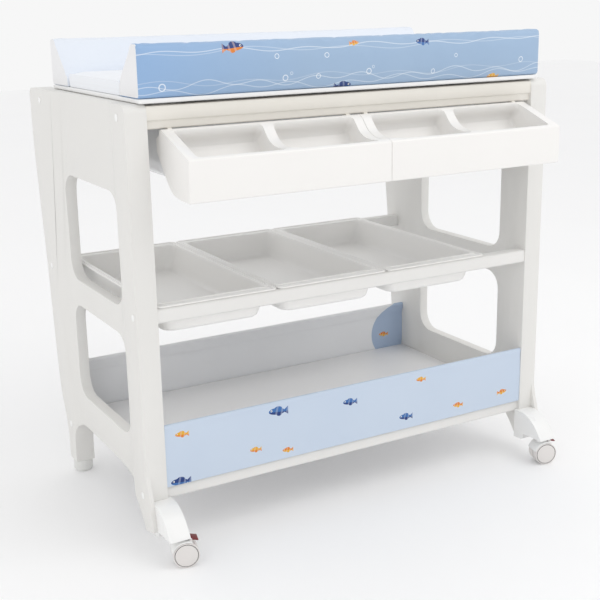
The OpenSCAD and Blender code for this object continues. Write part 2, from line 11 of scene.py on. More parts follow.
import bmesh
import bpy
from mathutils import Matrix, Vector

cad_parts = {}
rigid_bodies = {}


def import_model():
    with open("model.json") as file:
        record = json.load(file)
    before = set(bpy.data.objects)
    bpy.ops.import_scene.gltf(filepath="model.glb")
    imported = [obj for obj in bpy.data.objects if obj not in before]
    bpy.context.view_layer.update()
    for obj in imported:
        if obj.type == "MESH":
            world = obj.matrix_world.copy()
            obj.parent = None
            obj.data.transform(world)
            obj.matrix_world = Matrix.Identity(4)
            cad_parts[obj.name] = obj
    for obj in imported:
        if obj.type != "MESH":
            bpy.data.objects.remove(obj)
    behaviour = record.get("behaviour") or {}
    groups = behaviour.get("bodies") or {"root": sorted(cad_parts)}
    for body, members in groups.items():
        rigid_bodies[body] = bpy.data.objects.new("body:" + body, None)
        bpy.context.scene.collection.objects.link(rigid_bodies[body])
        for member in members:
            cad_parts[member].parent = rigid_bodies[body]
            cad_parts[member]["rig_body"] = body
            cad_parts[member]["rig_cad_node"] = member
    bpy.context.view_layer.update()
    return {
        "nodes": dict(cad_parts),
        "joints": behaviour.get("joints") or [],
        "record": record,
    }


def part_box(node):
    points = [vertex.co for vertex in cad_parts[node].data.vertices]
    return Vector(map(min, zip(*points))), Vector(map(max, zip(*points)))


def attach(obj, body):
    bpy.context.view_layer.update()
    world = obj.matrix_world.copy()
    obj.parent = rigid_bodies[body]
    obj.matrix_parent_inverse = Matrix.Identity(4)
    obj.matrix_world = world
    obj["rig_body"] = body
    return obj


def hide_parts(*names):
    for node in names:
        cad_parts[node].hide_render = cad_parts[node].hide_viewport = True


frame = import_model()

# %% [markdown]
# The camera stands in front of the table, to its left, and looks slightly down on it. Its lens is
# long, as in a product studio, which keeps the posts nearly parallel. Its three angles are in degrees.

# %% Camera
LOOKS_DOWN, LOOKS_RIGHT, LEANS = 15.47, 29.41, 1.11
camera_data = bpy.data.cameras.new("studio_camera")
camera_data.lens = 64.5
camera = bpy.data.objects.new("studio_camera", camera_data)
bpy.context.scene.collection.objects.link(camera)
camera.location = (-1.141, -2.006, 1.023)
camera.rotation_euler = (math.radians(90 - LOOKS_DOWN), 0, -math.radians(LOOKS_RIGHT))
camera.rotation_euler.rotate_axis("Z", -math.radians(LEANS))
bpy.context.scene.camera = camera
bpy.context.scene.view_settings.view_transform = "Standard"
print("camera", tuple(camera.location), "lens", camera_data.lens)

# %% [markdown]
# A white product studio is a bright room: most light comes from all around, so that white plastic
# stays nearly white and only its edges and hollows turn grey. One large soft lamp above the right
# front and one fill lamp on the left give the shapes their gentle shading.

# %% Studio
def soft_lamp(name, place, target, size, watts):
    data = bpy.data.lights.new(name, "AREA")
    data.shape = "SQUARE"
    data.size = size
    data.energy = watts
    lamp = bpy.data.objects.new(name, data)
    bpy.context.scene.collection.objects.link(lamp)
    lamp.location = place
    lamp.rotation_euler = (Vector(target) - Vector(place)).to_track_quat("-Z", "Y").to_euler()
    return lamp


world = bpy.data.worlds.new("studio_world")
bpy.context.scene.world = world
world.use_nodes = True
world.node_tree.nodes["Background"].inputs["Color"].default_value = (1, 1, 1, 1)
world.node_tree.nodes["Background"].inputs["Strength"].default_value = 0.93
middle = (0, 0, 0.5)
soft_lamp("key_lamp", (1.2, -1.6, 2.8), middle, 2.4, 16)
soft_lamp("fill_lamp", (-2.6, -1.4, 1.4), middle, 2.0, 5)

# %% [markdown]
# A finish is a small network of shader nodes. Written by hand, such a network is hard to read, so two
# helpers carry it. A Wire wraps one socket and lets Python's arithmetic add the Math nodes. A Recipe
# holds one material and adds any other node by its type, its settings and its inputs.

# %% Shader arithmetic
def spell(operation):
    """A method of Wire that adds one Math node."""
    def method(self, *others):
        return self.recipe.math(operation, self, *others)
    return method


class Wire:
    """One socket of a material. Arithmetic on it adds Math nodes."""

    def __init__(self, recipe, socket):
        self.recipe = recipe
        self.socket = socket

    __add__, __sub__, __mul__ = spell("ADD"), spell("SUBTRACT"), spell("MULTIPLY")
    __lt__, __gt__ = spell("LESS_THAN"), spell("GREATER_THAN")
    __abs__, sine = spell("ABSOLUTE"), spell("SINE")
    least, most = spell("MINIMUM"), spell("MAXIMUM")


class Recipe:
    """A material and its nodes."""

    def __init__(self, name):
        self.material = bpy.data.materials.new(name)
        self.material.use_nodes = True
        self.nodes = self.material.node_tree.nodes
        self.shader = self.nodes["Principled BSDF"]

    def plug(self, value, socket):
        if isinstance(value, Wire):
            self.material.node_tree.links.new(value.socket, socket)
        else:
            socket.default_value = value

    def add(self, kind, settings=None, **sockets):
        node = self.nodes.new("ShaderNode" + kind)
        for key, value in (settings or {}).items():
            setattr(node, key, value)
        for key, value in sockets.items():
            index = int(key[1:]) if key[0] == "i" and key[1:].isdigit() else key.replace("_", " ")
            self.plug(value, node.inputs[index])
        return node

    def math(self, operation, *values):
        node = self.nodes.new("ShaderNodeMath")
        node.operation = operation
        for value, socket in zip(values, node.inputs):
            self.plug(value, socket)
        return Wire(self, node.outputs[0])

    def place(self):
        """The point's x, y and z on the object, in metres, and all three as one vector."""
        point = self.add("TexCoord").outputs["Object"]
        split = self.add("SeparateXYZ", Vector=Wire(self, point))
        return [Wire(self, s) for s in split.outputs] + [Wire(self, point)]

    def noise(self, point, scale, detail=2.0, roughness=0.5):
        node = self.add("TexNoise", Vector=point, Scale=scale, Detail=detail, Roughness=roughness)
        return Wire(self, node.outputs["Fac"])

    def mix(self, factor, low, high):
        node = self.add("Mix", {"data_type": "RGBA"}, i0=factor, i6=low, i7=high)
        return Wire(self, node.outputs[2])

    def bump(self, height, strength, distance, base=None):
        node = self.add("Bump", Height=height, Strength=strength, Distance=distance)
        if base is not None:
            self.plug(base, node.inputs["Normal"])
        return Wire(self, node.outputs["Normal"])

    def finish(self, **sockets):
        for key, value in sockets.items():
            self.plug(value, self.shader.inputs[key.replace("_", " ")])
        return self.material


def rgb(red, green, blue):
    return (red, green, blue, 1)


print("shader helpers ready")

# %% [markdown]
# Moulded plastic is never one flat colour. A wide, faint noise makes the white a little uneven, as
# thick and thin walls do. A fine one is the mould's texture, which breaks the highlights up, and
# handling leaves some places smoother than others, so the roughness varies too.

# %% Plastics
def plastic(name, light, dark, rough, grain=700, relief=0.06, coat=0.0):
    r = Recipe(name)
    x, y, z, point = r.place()
    cloud = r.noise(point, 4.5, 3)
    texture = r.noise(point, grain, 2)
    handled = r.noise(point, 16, 4)
    colour = r.mix(cloud * 0.8 + handled * 0.2, rgb(*dark), rgb(*light))
    return r.finish(Base_Color=colour, Roughness=handled * 0.16 + (rough - 0.08), Coat_Weight=coat,
                    Normal=r.bump(texture, relief, 0.0004))


PANEL_WHITE = plastic("panel_plastic", (0.80, 0.79, 0.765), (0.76, 0.75, 0.725), 0.48)
RAIL_CREAM = plastic("rail_cream", (0.84, 0.81, 0.75), (0.80, 0.77, 0.71), 0.45)
RAIL_WHITE = plastic("rail_white", (0.82, 0.81, 0.79), (0.78, 0.77, 0.75), 0.45)
TRAY_WHITE = plastic("tray_plastic", (0.90, 0.885, 0.865), (0.87, 0.855, 0.83), 0.34, coat=0.15)
BIN_WHITE = plastic("bin_plastic", (0.92, 0.91, 0.89), (0.89, 0.88, 0.86), 0.36, coat=0.12)
BRACKET_WHITE = plastic("bracket_plastic", (0.90, 0.90, 0.89), (0.87, 0.87, 0.86), 0.3, coat=0.2)
CASTOR_WHITE = plastic("castor_plastic", (0.86, 0.86, 0.85), (0.82, 0.82, 0.81), 0.32, coat=0.2)
WHEEL_GREY = plastic("wheel_plastic", (0.78, 0.75, 0.73), (0.73, 0.70, 0.68), 0.42)
TUB_WHITE = plastic("tub_plastic", (0.88, 0.89, 0.91), (0.85, 0.86, 0.88), 0.22, coat=0.3)
FOOT_WHITE = plastic("foot_plastic", (0.78, 0.78, 0.76), (0.72, 0.72, 0.70), 0.5)
CAP_WHITE = plastic("cap_plastic", (0.93, 0.93, 0.92), (0.90, 0.90, 0.89), 0.28, coat=0.2)
PLUG_GREY = plastic("plug_rubber", (0.52, 0.54, 0.57), (0.46, 0.48, 0.51), 0.6, grain=1100, relief=0.2)
TAB_RED = plastic("tab_plastic", (0.20, 0.02, 0.02), (0.15, 0.015, 0.015), 0.38)
BOARD_WHITE = plastic("board_laminate", (0.88, 0.88, 0.875), (0.85, 0.85, 0.845), 0.4, grain=300)
BOARD_GREY = plastic("floor_laminate", (0.93, 0.93, 0.935), (0.90, 0.90, 0.91), 0.42, grain=300)
print("plastics ready")

# %% [markdown]
# Zinc-plated steel is a metal with a cool tint. Its plating shows as fine streaks along the rod and
# as cloudy patches that are duller than the rest.

# %% Steel
def plated_steel():
    r = Recipe("zinc_steel")
    x, y, z, point = r.place()
    stretched = r.add("Mapping", Vector=point, Scale=(30, 900, 900))
    streaks = r.noise(Wire(r, stretched.outputs[0]), 1.0, 3)
    patches = r.noise(point, 60, 4)
    colour = r.mix(patches, rgb(0.55, 0.56, 0.57), rgb(0.72, 0.72, 0.71))
    return r.finish(Base_Color=colour, Metallic=1.0, Roughness=patches * 0.2 + 0.25,
                    Normal=r.bump(streaks, 0.12, 0.0003))


ZINC_STEEL = plated_steel()
print("steel ready")

# %% [markdown]
# Most pieces are modelled with the same few moves, as by hand: add a primitive, shape it in edit
# mode, and finish it with modifiers. These helpers hold those moves. An edit-mode operator acts on
# everything that is selected, so each helper deselects all first.

# %% Modelling helpers
def only(piece):
    bpy.ops.object.select_all(action="DESELECT")
    piece.select_set(True)
    bpy.context.view_layer.objects.active = piece


def apply_place(piece):
    """Leaves the piece where it is, at the origin and with a scale of one."""
    only(piece)
    bpy.ops.object.transform_apply(location=True, rotation=True, scale=True)


def applied(piece, kind, **settings):
    only(piece)
    modifier = piece.modifiers.new(kind.title(), kind)
    for key, value in settings.items():
        setattr(modifier, key, value)
    bpy.ops.object.modifier_apply(modifier=modifier.name)
    return piece


def bevelled(piece, width, segments=3, angle=30):
    return applied(piece, "BEVEL", width=width, segments=segments, limit_method="ANGLE",
                   angle_limit=math.radians(angle), harden_normals=False, loop_slide=True)


def smooth(piece, angle=35):
    only(piece)
    bpy.ops.object.shade_smooth_by_angle(angle=math.radians(angle))
    return piece


def clean(piece, gap=0.00002):
    """Merges the loose corners of a copied mesh and dissolves its flat triangles."""
    only(piece)
    bpy.ops.object.mode_set(mode="EDIT")
    bpy.ops.mesh.select_all(action="SELECT")
    bpy.ops.mesh.remove_doubles(threshold=gap)
    bpy.ops.mesh.dissolve_limited(angle_limit=math.radians(1))
    bpy.ops.mesh.normals_make_consistent(inside=False)
    bpy.ops.object.mode_set(mode="OBJECT")
    return piece


def copy_of(node, name):
    piece = frame["nodes"][node].copy()
    piece.data = frame["nodes"][node].data.copy()
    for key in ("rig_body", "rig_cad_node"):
        if key in piece:
            del piece[key]
    piece.parent = None
    piece.name = name
    piece.data.name = name
    bpy.context.scene.collection.objects.link(piece)
    return clean(piece)


def body_of(node):
    """The moving body that the record puts a node on."""
    return next(body for body, nodes in frame["record"]["behaviour"]["bodies"].items() if node in nodes)


SLOT_OF = {row["node"]: row["material_slot"] for row in frame["record"]["subparts"]}


def stands_for(piece, material, *nodes):
    """Gives a finished piece its material and its body, and hides the nodes that it replaces."""
    piece.data.materials.clear()
    piece.data.materials.append(material)
    return settled(piece, *nodes)


def settled(piece, *nodes):
    """Gives a piece the body of its first node, and hides the nodes that it replaces."""
    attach(piece, body_of(nodes[0]))
    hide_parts(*nodes)
    return piece


def softened(node, material, width, segments=3):
    """A copy of a node with its edges rounded, as moulded and sanded edges are."""
    piece = copy_of(node, node + "_finished")
    bevelled(piece, width, segments)
    smooth(piece)
    return stands_for(piece, material, node)


def prism(name, outline, x0, x1):
    """An outline of (front to back, height) points, pushed out along X from x0 to x1."""
    bpy.ops.object.select_all(action="DESELECT")
    bpy.ops.mesh.primitive_circle_add(vertices=len(outline), fill_type="NGON")
    piece = bpy.context.object
    piece.name = name
    piece.data.name = name
    for vertex, (y, z) in zip(piece.data.vertices, outline):
        vertex.co = (x0, y, z)
    bpy.ops.object.mode_set(mode="EDIT")
    bpy.ops.mesh.select_all(action="SELECT")
    bpy.ops.mesh.extrude_region_move(TRANSFORM_OT_translate={"value": (x1 - x0, 0, 0)})
    bpy.ops.mesh.select_all(action="SELECT")
    bpy.ops.mesh.normals_make_consistent(inside=False)
    bpy.ops.object.mode_set(mode="OBJECT")
    return piece


def cube_between(name, low, high):
    """A box primitive at its size and place, ready to be shaped."""
    bpy.ops.object.select_all(action="DESELECT")
    bpy.ops.mesh.primitive_cube_add(size=1, location=(Vector(low) + Vector(high)) / 2)
    piece = bpy.context.object
    piece.name = name
    piece.data.name = name
    piece.scale = Vector(high) - Vector(low)
    apply_place(piece)
    return piece


def cylinder(name, place, radius, depth):
    """An upright round bar that a shell is joined with or cut by."""
    bpy.ops.mesh.primitive_cylinder_add(vertices=48, radius=radius, depth=depth, location=place)
    piece = bpy.context.object
    piece.name = name
    apply_place(piece)
    return piece


def cut_by(piece, *cutters, operation="DIFFERENCE"):
    for cutter in cutters:
        applied(piece, "BOOLEAN", operation=operation, object=cutter, solver="EXACT")
        bpy.data.objects.remove(cutter)
    return piece


def added_to(piece, extra):
    return cut_by(piece, extra, operation="UNION")


def arc(y, z, radius, start, end, steps=6):
    """Points on an arc around (y, z), with angles in degrees from +Y towards +Z."""
    angles = [math.radians(start + (end - start) * i / steps) for i in range(steps + 1)]
    return [(y + radius * math.cos(a), z + radius * math.sin(a)) for a in angles]


print("modelling helpers ready")

# %% [markdown]
# The covers and the shelf's sides carry one print: pale blue water with thin white waves, a few
# bubbles and small fish. The fish are listed one by one, in metres across and up the cloth, each with
# its length, the way it faces and its colours. A fish is drawn only once, in lengths of its own. Each
# point of the cloth takes its place from the fish near it, so the list can grow without a new drawing.
# A bubble has a place and a radius. A wave has its height, swing, pace, phase and faintness.

# %% Printed cloth
BLUE, NAVY = (0.05, 0.16, 0.42), (0.02, 0.05, 0.20)
ORANGE, YELLOW = (0.72, 0.22, 0.03), (0.78, 0.42, 0.04)
TOP_FISH = [(-0.267, 0.948, 0.044, 1, NAVY, ORANGE), (-0.011, 0.947, 0.022, 1, ORANGE, YELLOW),
            (0.148, 0.944, 0.032, -1, NAVY, BLUE), (-0.036, 0.868, 0.040, 1, NAVY, BLUE),
            (0.330, 0.868, 0.030, -1, YELLOW, ORANGE)]
LOW_FISH = [(-0.402, 0.231, 0.030, -1, YELLOW, ORANGE), (-0.409, 0.134, 0.044, -1, NAVY, BLUE),
            (-0.192, 0.234, 0.046, -1, BLUE, NAVY), (-0.245, 0.163, 0.027, -1, YELLOW, ORANGE),
            (-0.172, 0.146, 0.026, -1, ORANGE, YELLOW), (-0.022, 0.219, 0.036, -1, BLUE, NAVY),
            (0.120, 0.156, 0.036, -1, BLUE, NAVY), (0.159, 0.234, 0.026, -1, YELLOW, ORANGE),
            (0.261, 0.154, 0.028, -1, ORANGE, YELLOW), (0.386, 0.160, 0.028, 1, ORANGE, YELLOW)]
REAR_FISH = [(-0.300, 0.901, 0.040, -1, NAVY, ORANGE), (0.050, 0.897, 0.026, 1, ORANGE, YELLOW),
             (0.280, 0.903, 0.034, -1, NAVY, BLUE)]
BUBBLES = [(-0.408, 0.884, 0.007), (-0.180, 0.929, 0.005), (-0.163, 0.889, 0.006), (-0.150, 0.897, 0.003),
           (-0.073, 0.927, 0.005), (-0.092, 0.889, 0.005), (0.021, 0.893, 0.006), (0.031, 0.901, 0.003),
           (0.174, 0.886, 0.005), (0.230, 0.915, 0.004), (0.400, 0.900, 0.006)]


def oval(u, v, across, up, narrow=1.0, flat=1.0):
    """The squared distance from a point. With the two scales, an oval's edge is where it is 1."""
    du, dv = (u - across) * narrow, (v - up) * flat
    return du * du + dv * dv


def fish_layer(r, x, z, school):
    """Where the cloth shows a fish, and the colour of its skin there."""
    near = u = v = x * 0.0
    back = belly = rgb(0, 0, 0)
    for across, up, length, facing, top, low in school:
        du = (x - across) * (facing / length)
        dv = (z - up) * (1 / length)
        here = (abs(du) < 0.65) * (abs(dv) < 0.4)
        near, u, v = here + near, here * du + u, here * dv + v
        back, belly = r.mix(here, back, rgb(*top)), r.mix(here, belly, rgb(*low))
    v = v - (u * 4.0).sine() * 0.03
    body = oval(u, v, 0.06, 0.0, 2.5, 6.4) < 1.0
    tail = (abs(v) < (u * -1.0 - 0.24) * 0.75) * (u > -0.5)
    fin = oval(u, v, -0.02, 0.13, 5.5, 10) < 1.0
    keel = oval(u, v, -0.04, -0.135, 8, 12) < 1.0
    stripes = ((u * 24.0 + v * 6.0).sine() > 0.45) * (u < 0.24)
    skin = r.mix(v < -0.03, back, belly)
    skin = r.mix(stripes * 0.35, skin, r.mix(0.6, belly, rgb(0.75, 0.80, 0.88)))
    skin = r.mix(oval(u, v, 0.33, 0.035) < 0.0022, skin, rgb(0.85, 0.86, 0.88))
    skin = r.mix(oval(u, v, 0.34, 0.035) < 0.0006, skin, rgb(0.01, 0.01, 0.02))
    return body.most(tail).most(fin).most(keel) * near, skin


def printed(name, base, shade, school, bubbles=(), waves=(), weave=1.0, rough=0.5, flap=None, left=None):
    """A print on base and shade, which drift into each other. flap is a patch of deeper blue. left is
    the deeper blue of painted shade, which the cover takes on towards its left end."""
    r = Recipe(name)
    x, y, z, point = r.place()
    fish, skin = fish_layer(r, x, z, school)
    wash = r.noise(point, 5.0, 3)
    cloth = r.mix(wash, rgb(*shade), rgb(*base))
    # Painted shade: towards its left end the cover turns a deeper, darker blue, away from the key lamp.
    if left:
        cloth = r.mix(((x + 0.12) * -2.2).most(0.0).least(0.7), cloth, rgb(*left))
    if flap:
        across, up, half_w, half_h = flap
        cloth = r.mix(oval(x, z, across, up, 1 / half_w, 1 / half_h) < 1.0, cloth, rgb(0.42, 0.52, 0.68))
    for height, swing, pace, phase, faint in waves:
        line = z - height - (x * pace + phase).sine() * swing
        line = line - (x * (pace * 0.41) + phase * 2).sine() * (swing * 0.8)
        cloth = r.mix((abs(line) < 0.0008) * faint, cloth, rgb(0.88, 0.92, 0.96))
    for across, up, radius in bubbles:
        away = oval(x, z, across, up)
        ring = (away < radius ** 2) * (away > (radius * 0.72) ** 2)
        cloth = r.mix(ring * 0.7, cloth, rgb(0.90, 0.93, 0.97))
    threads = 0.0
    for way in "XZ":
        bands = r.add("TexWave", {"bands_direction": way}, Vector=point, Scale=420, Distortion=0.6)
        threads = Wire(r, bands.outputs["Fac"]) * 0.5 + threads
    puckers = r.bump(r.noise(point, 38, 3), 0.16, 0.002)
    return r.finish(Base_Color=r.mix(fish, cloth, skin), Roughness=wash * 0.1 + rough,
                    Normal=r.bump(threads, 0.12 * weave, 0.0004, puckers))


TOP_WAVES = [(0.943, 0.0030, 43, 0.4, 0.45), (0.941, 0.0040, 29, 2.1, 0.25), (0.885, 0.0050, 57, 1.2, 0.42),
             (0.876, 0.0048, 52, 3.0, 0.38), (0.889, 0.0040, 38, 4.4, 0.20)]
# The front cover carries painted shade: a deeper blue that ramps in towards its left end.
VINYL_BLUE = printed("cover_print", (0.36, 0.49, 0.66), (0.32, 0.45, 0.63), TOP_FISH, BUBBLES, TOP_WAVES,
                     0.5, 0.42, left=(0.26, 0.43, 0.70))
CLOTH_BLUE = printed("shelf_print", (0.60, 0.68, 0.79), (0.54, 0.63, 0.76), LOW_FISH, rough=0.78)
VINYL_REAR = printed("rear_cover_print", (0.80, 0.84, 0.91), (0.76, 0.81, 0.89), REAR_FISH, BUBBLES[:5],
                     TOP_WAVES[2:], 0.5, 0.42)
VINYL_PALE = printed("mat_print", (0.88, 0.90, 0.93), (0.85, 0.87, 0.91), [], (),
                     [(0.872, 0.003, 30, 1.0, 0.4), (0.882, 0.004, 26, 2.0, 0.4)], 0.5, 0.42)
CLOTH_GREY = printed("lining_cloth", (0.87, 0.875, 0.885), (0.83, 0.835, 0.85),
                     [(0.379, 0.176, 0.030, -1, ORANGE, YELLOW)], rough=0.8,
                     flap=(0.437, 0.178, 0.095, 0.080))
print("prints ready:", len(TOP_FISH) + len(LOW_FISH), "fish")

# %% [markdown]
# A padded cover is sewn from flat pieces, and its filling pushes them out between the seams. Each one
# is woven here as rings of points along its length. A cloth simulation then inflates it while its
# seams are held. How far any point may move is capped, so the cover stays in its place.

# %% Weaving and inflating
def woven(name, rows, closed=False):
    """A mesh through rows of points. Closed rows make a tube whose two ends are filled."""
    columns = len(rows[0]) + (1 if closed else 0)
    bpy.ops.object.select_all(action="DESELECT")
    bpy.ops.mesh.primitive_grid_add(x_subdivisions=columns - 1, y_subdivisions=len(rows) - 1)
    piece = bpy.context.object
    piece.name = name
    piece.data.name = name
    for index, vertex in enumerate(piece.data.vertices):
        row = rows[index // columns]
        vertex.co = row[index % columns % len(row)]
    bpy.ops.object.mode_set(mode="EDIT")
    bpy.ops.mesh.select_all(action="SELECT")
    bpy.ops.mesh.remove_doubles(threshold=0.00001)
    if closed:
        bpy.ops.mesh.select_all(action="DESELECT")
        bpy.ops.mesh.select_non_manifold()
        bpy.ops.mesh.fill_holes(sides=0)
    bpy.ops.mesh.select_all(action="SELECT")
    bpy.ops.mesh.normals_make_consistent(inside=False)
    bpy.ops.object.mode_set(mode="OBJECT")
    return piece


def spaced(points, step):
    """The same outline with points about a step apart, closed."""
    result = []
    for a, b in zip(points, points[1:] + points[:1]):
        count = max(1, round((Vector(b) - Vector(a)).length / step))
        result += [tuple(Vector(a).lerp(Vector(b), i / count)) for i in range(count)]
    return result


def steps(low, high, count):
    return [low + (high - low) * i / count for i in range(count + 1)]


def inflated(piece, held, pressure, cap, slack=0.0, weight=0.0, frames=20):
    """Simulates the piece as cloth. held gives how firmly each vertex is held, from 0 to 1."""
    rest = [vertex.co.copy() for vertex in piece.data.vertices]
    group = piece.vertex_groups.new(name="seams")
    for index, hold in held.items():
        group.add([index], hold, "REPLACE")
    only(piece)
    modifier = piece.modifiers.new("Cloth", "CLOTH")
    settings = modifier.settings
    settings.quality = 8
    settings.vertex_group_mass = "seams"
    settings.shrink_min = -slack
    settings.effector_weights.gravity = weight
    settings.use_pressure = pressure > 0
    settings.uniform_pressure_force = pressure
    modifier.point_cache.frame_end = frames
    for frame_number in range(1, frames + 1):
        bpy.context.scene.frame_set(frame_number)
    bpy.ops.object.modifier_apply(modifier=modifier.name)
    bpy.context.scene.frame_set(1)
    for vertex, before in zip(piece.data.vertices, rest):
        moved = vertex.co - before
        if moved.length > cap:
            vertex.co = before + moved * (cap / moved.length)
    piece.vertex_groups.clear()
    return piece


print("weaving helpers ready")

# %% [markdown]
# Each bolster is a long wedge: upright on its outer side, narrow on top and sloping down to the mat.
# Its cover is blue with white ends. The long seams run along its foot and its upper edges. Where two
# faces meet, the cover turns over a small radius.

# %% Bolsters and mat
END_WHITE = plastic("wedge_end_vinyl", (0.86, 0.86, 0.87), (0.83, 0.83, 0.84), 0.45, grain=900, relief=0.1)


def seam_hold(piece, low, high, seams, margin=0.006):
    """Holds the two ends fully, and the cover near each long seam by that seam's firmness."""
    held = {}
    for vertex in piece.data.vertices:
        x, y, z = vertex.co
        if x < low + 0.004 or x > high - 0.004:
            held[vertex.index] = 1.0
        for sy, sz, hold in seams:
            if (y - sy) ** 2 + (z - sz) ** 2 < margin ** 2:
                held[vertex.index] = max(hold, held.get(vertex.index, 0))
    return held


def bolster(node, name, front, cover):
    low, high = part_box(node)
    outer, inward = (low.y, 1) if front else (high.y, -1)
    height, crest, foot = high.z - low.z, 0.032, high.y - low.y
    profile = [(0.001, 0.003), (0.0, 0.006), (0.0, height - 0.010), (0.0015, height - 0.004),
               (0.006, height - 0.0015), (crest - 0.008, height - 0.0015), (crest - 0.002, height - 0.005),
               (crest + 0.002, height - 0.012), (foot - 0.014, 0.034), (foot - 0.006, 0.022),
               (foot - 0.003, 0.010), (foot - 0.004, 0.0008), (0.004, 0.0008)]
    outline = spaced(profile, 0.009)
    ends = [low.x, low.x + 0.0012, low.x + 0.004]
    line = ends + steps(low.x + 0.010, high.x - 0.010, 96) + [high.x - 0.004, high.x - 0.0012, high.x]
    mid_d, mid_h = foot * 0.3, height * 0.45
    rows = []
    for x in line:
        near_end = min(x - low.x, high.x - x)
        pull = 0.032 if near_end < 0.001 else 0.008 if near_end < 0.003 else 0
        rows.append([(x, outer + inward * (d + (mid_d - d) * pull), low.z + h + (mid_h - h) * pull)
                     for d, h in outline])
    piece = woven(name, rows, closed=True)
    top = low.z + height
    seams = [(outer, low.z + 0.004, 1.0), (outer + inward * foot, low.z, 1.0), (outer, top - 0.002, 0.55),
             (outer + inward * crest, top - 0.003, 0.45)]
    inflated(piece, seam_hold(piece, low.x, high.x, seams), 5.0, 0.0045, slack=0.004)
    piece.data.materials.append(cover)
    piece.data.materials.append(END_WHITE)
    for face in piece.data.polygons:
        face.material_index = 1 if abs(face.normal.x) > 0.7 else 0
    smooth(piece, 50)
    settled(piece, node)
    return piece


front_cover = bolster("bolster_front", "front_bolster_cover", True, VINYL_BLUE)
rear_cover = bolster("bolster_rear", "rear_bolster_cover", False, VINYL_REAR)


def mat():
    low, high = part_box("mat_pad")
    width, thick, edge = high.y - low.y, high.z - low.z, 0.007
    profile = [(edge, 0.0008), (0.002, 0.004), (0.0, thick * 0.45), (0.002, thick - 0.006),
               (edge, thick - 0.001), (width - edge, thick - 0.001), (width - 0.002, thick - 0.006),
               (width, thick * 0.45), (width - 0.002, 0.004), (width - edge, 0.0008)]
    outline = spaced(profile, 0.014)
    rows = [[(x, low.y + d, low.z + h) for d, h in outline] for x in steps(low.x, high.x, 64)]
    piece = woven("mat_cover", rows, closed=True)
    seams = [(low.y, low.z + 0.004, 1.0), (high.y, low.z + 0.004, 1.0)]
    held = seam_hold(piece, low.x, high.x, seams, 0.012)
    held.update({v.index: 1.0 for v in piece.data.vertices if v.co.z < low.z + 0.002})
    inflated(piece, held, 3.5, 0.004)
    smooth(piece, 50)
    stands_for(piece, VINYL_PALE, "mat_pad")
    return piece


mat_cover = mat()
print("covers, faces:", [len(cover.data.polygons) for cover in (front_cover, rear_cover, mat_cover)])

# %% [markdown]
# The shelf's front and back sheets hang from thin rods. Each is one strip of cloth: its hem goes over
# the rod and is stitched below it, and its lower edge is held at the board. It is stretched between
# the posts, so it stays almost flat, with shallow waves between the places where it is held.

# %% Shelf sheets
STEPS_DOWN, STEPS_ACROSS = 14, 110


def hem_path(face, rod, low_z, inward):
    """Points of the strip from the stitching behind the rod, over it, and down the face to the board."""
    ry, rz, radius = rod
    wrap = [(ry + inward * radius * math.cos(a), rz + radius * math.sin(a))
            for a in [math.radians(d) for d in range(-30, 166, 15)]]
    stitch = [(face + inward * 0.0016, rz - 0.0235), (face + inward * 0.0024, rz - 0.016),
              (face + inward * 0.0046, rz - 0.0085)]
    front = [(face, z) for z in steps(rz - 0.0075, low_z, STEPS_DOWN)]
    return stitch + wrap + front


def shelf_sheet(node, rod_node, name, front, cloth):
    low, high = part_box(node)
    rod_low, rod_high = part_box(rod_node)
    inward = 1 if front else -1
    face = low.y + 0.0006 if front else high.y - 0.0006
    radius = (rod_high.z - rod_low.z) / 2 + 0.0007
    rod = ((rod_low.y + rod_high.y) / 2, (rod_low.z + rod_high.z) / 2, radius)
    path = hem_path(face, rod, low.z + 0.0005, inward)
    rows = [[(x, y, z) for x in steps(low.x, high.x, STEPS_ACROSS)] for y, z in path]
    piece = woven(name, rows)
    held = {}
    for vertex in piece.data.vertices:
        row = vertex.index // (STEPS_ACROSS + 1)
        side = min(vertex.co.x - low.x, high.x - vertex.co.x)
        if row <= len(path) - STEPS_DOWN or row == len(path) - 1:
            held[vertex.index] = 1.0
        elif side < 0.001:
            held[vertex.index] = 0.9
    inflated(piece, held, 0.0, 0.0030, slack=0.010, weight=0.30, frames=16)
    applied(piece, "SOLIDIFY", thickness=0.0007, offset=0)
    smooth(piece, 60)
    stands_for(piece, cloth, node)
    return piece


shelf_sheet("fabric_front_panel", "fabric_rod_front", "shelf_sheet_front", True, CLOTH_BLUE)
shelf_sheet("fabric_rear_panel", "fabric_rod_rear", "shelf_sheet_rear", False, CLOTH_GREY)

# %% [markdown]
# A side panel is one thick moulding. Its posts stay full thickness, and between them both faces sink
# in a soft slope, which on the rear side follows the leg as it steps forward. The panel starts as its
# full outline. The slopes are cut out with one flowing tube on each face, then the windows are cut.
# The rear edge and the slope's two folds are curves of (height, distance behind the posts' front).

# %% Side panels
PANEL_LOW, PANEL_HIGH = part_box("side_panel_left")
OUTER_X = -PANEL_LOW.x
THICK = PANEL_HIGH.x - PANEL_LOW.x
TOP = PANEL_HIGH.z
TOP_DEPTH, FOOT_DEPTH = 0.570, 0.480
FRONT = PANEL_HIGH.y - TOP_DEPTH
POST, SLOPE = 0.054, 0.054
OUTER_SINK, INNER_SINK = 0.012, 0.008
HIGH_WINDOW, LOW_WINDOW = (0.468, 0.690), (0.204, 0.412)


def at(pairs):
    """Pairs given as (distance behind the posts' front, height) become (y, z) on the frame."""
    return [(FRONT + y, z) for y, z in pairs]


def flowing(points, count=5):
    """A smooth curve through the points, as a bent wire would take it."""
    ends = [points[0]] + list(points) + [points[-1]]
    curve = []
    for a, b, c, d in zip(ends, ends[1:], ends[2:], ends[3:]):
        for i in range(count):
            t = i / count
            curve.append(tuple(0.5 * (2 * q + (r - p) * t + (2 * p - 5 * q + 4 * r - s) * t ** 2
                                      + (3 * q - p - 3 * r + s) * t ** 3)
                               for p, q, r, s in zip(a, b, c, d)))
    return curve + [tuple(points[-1])]


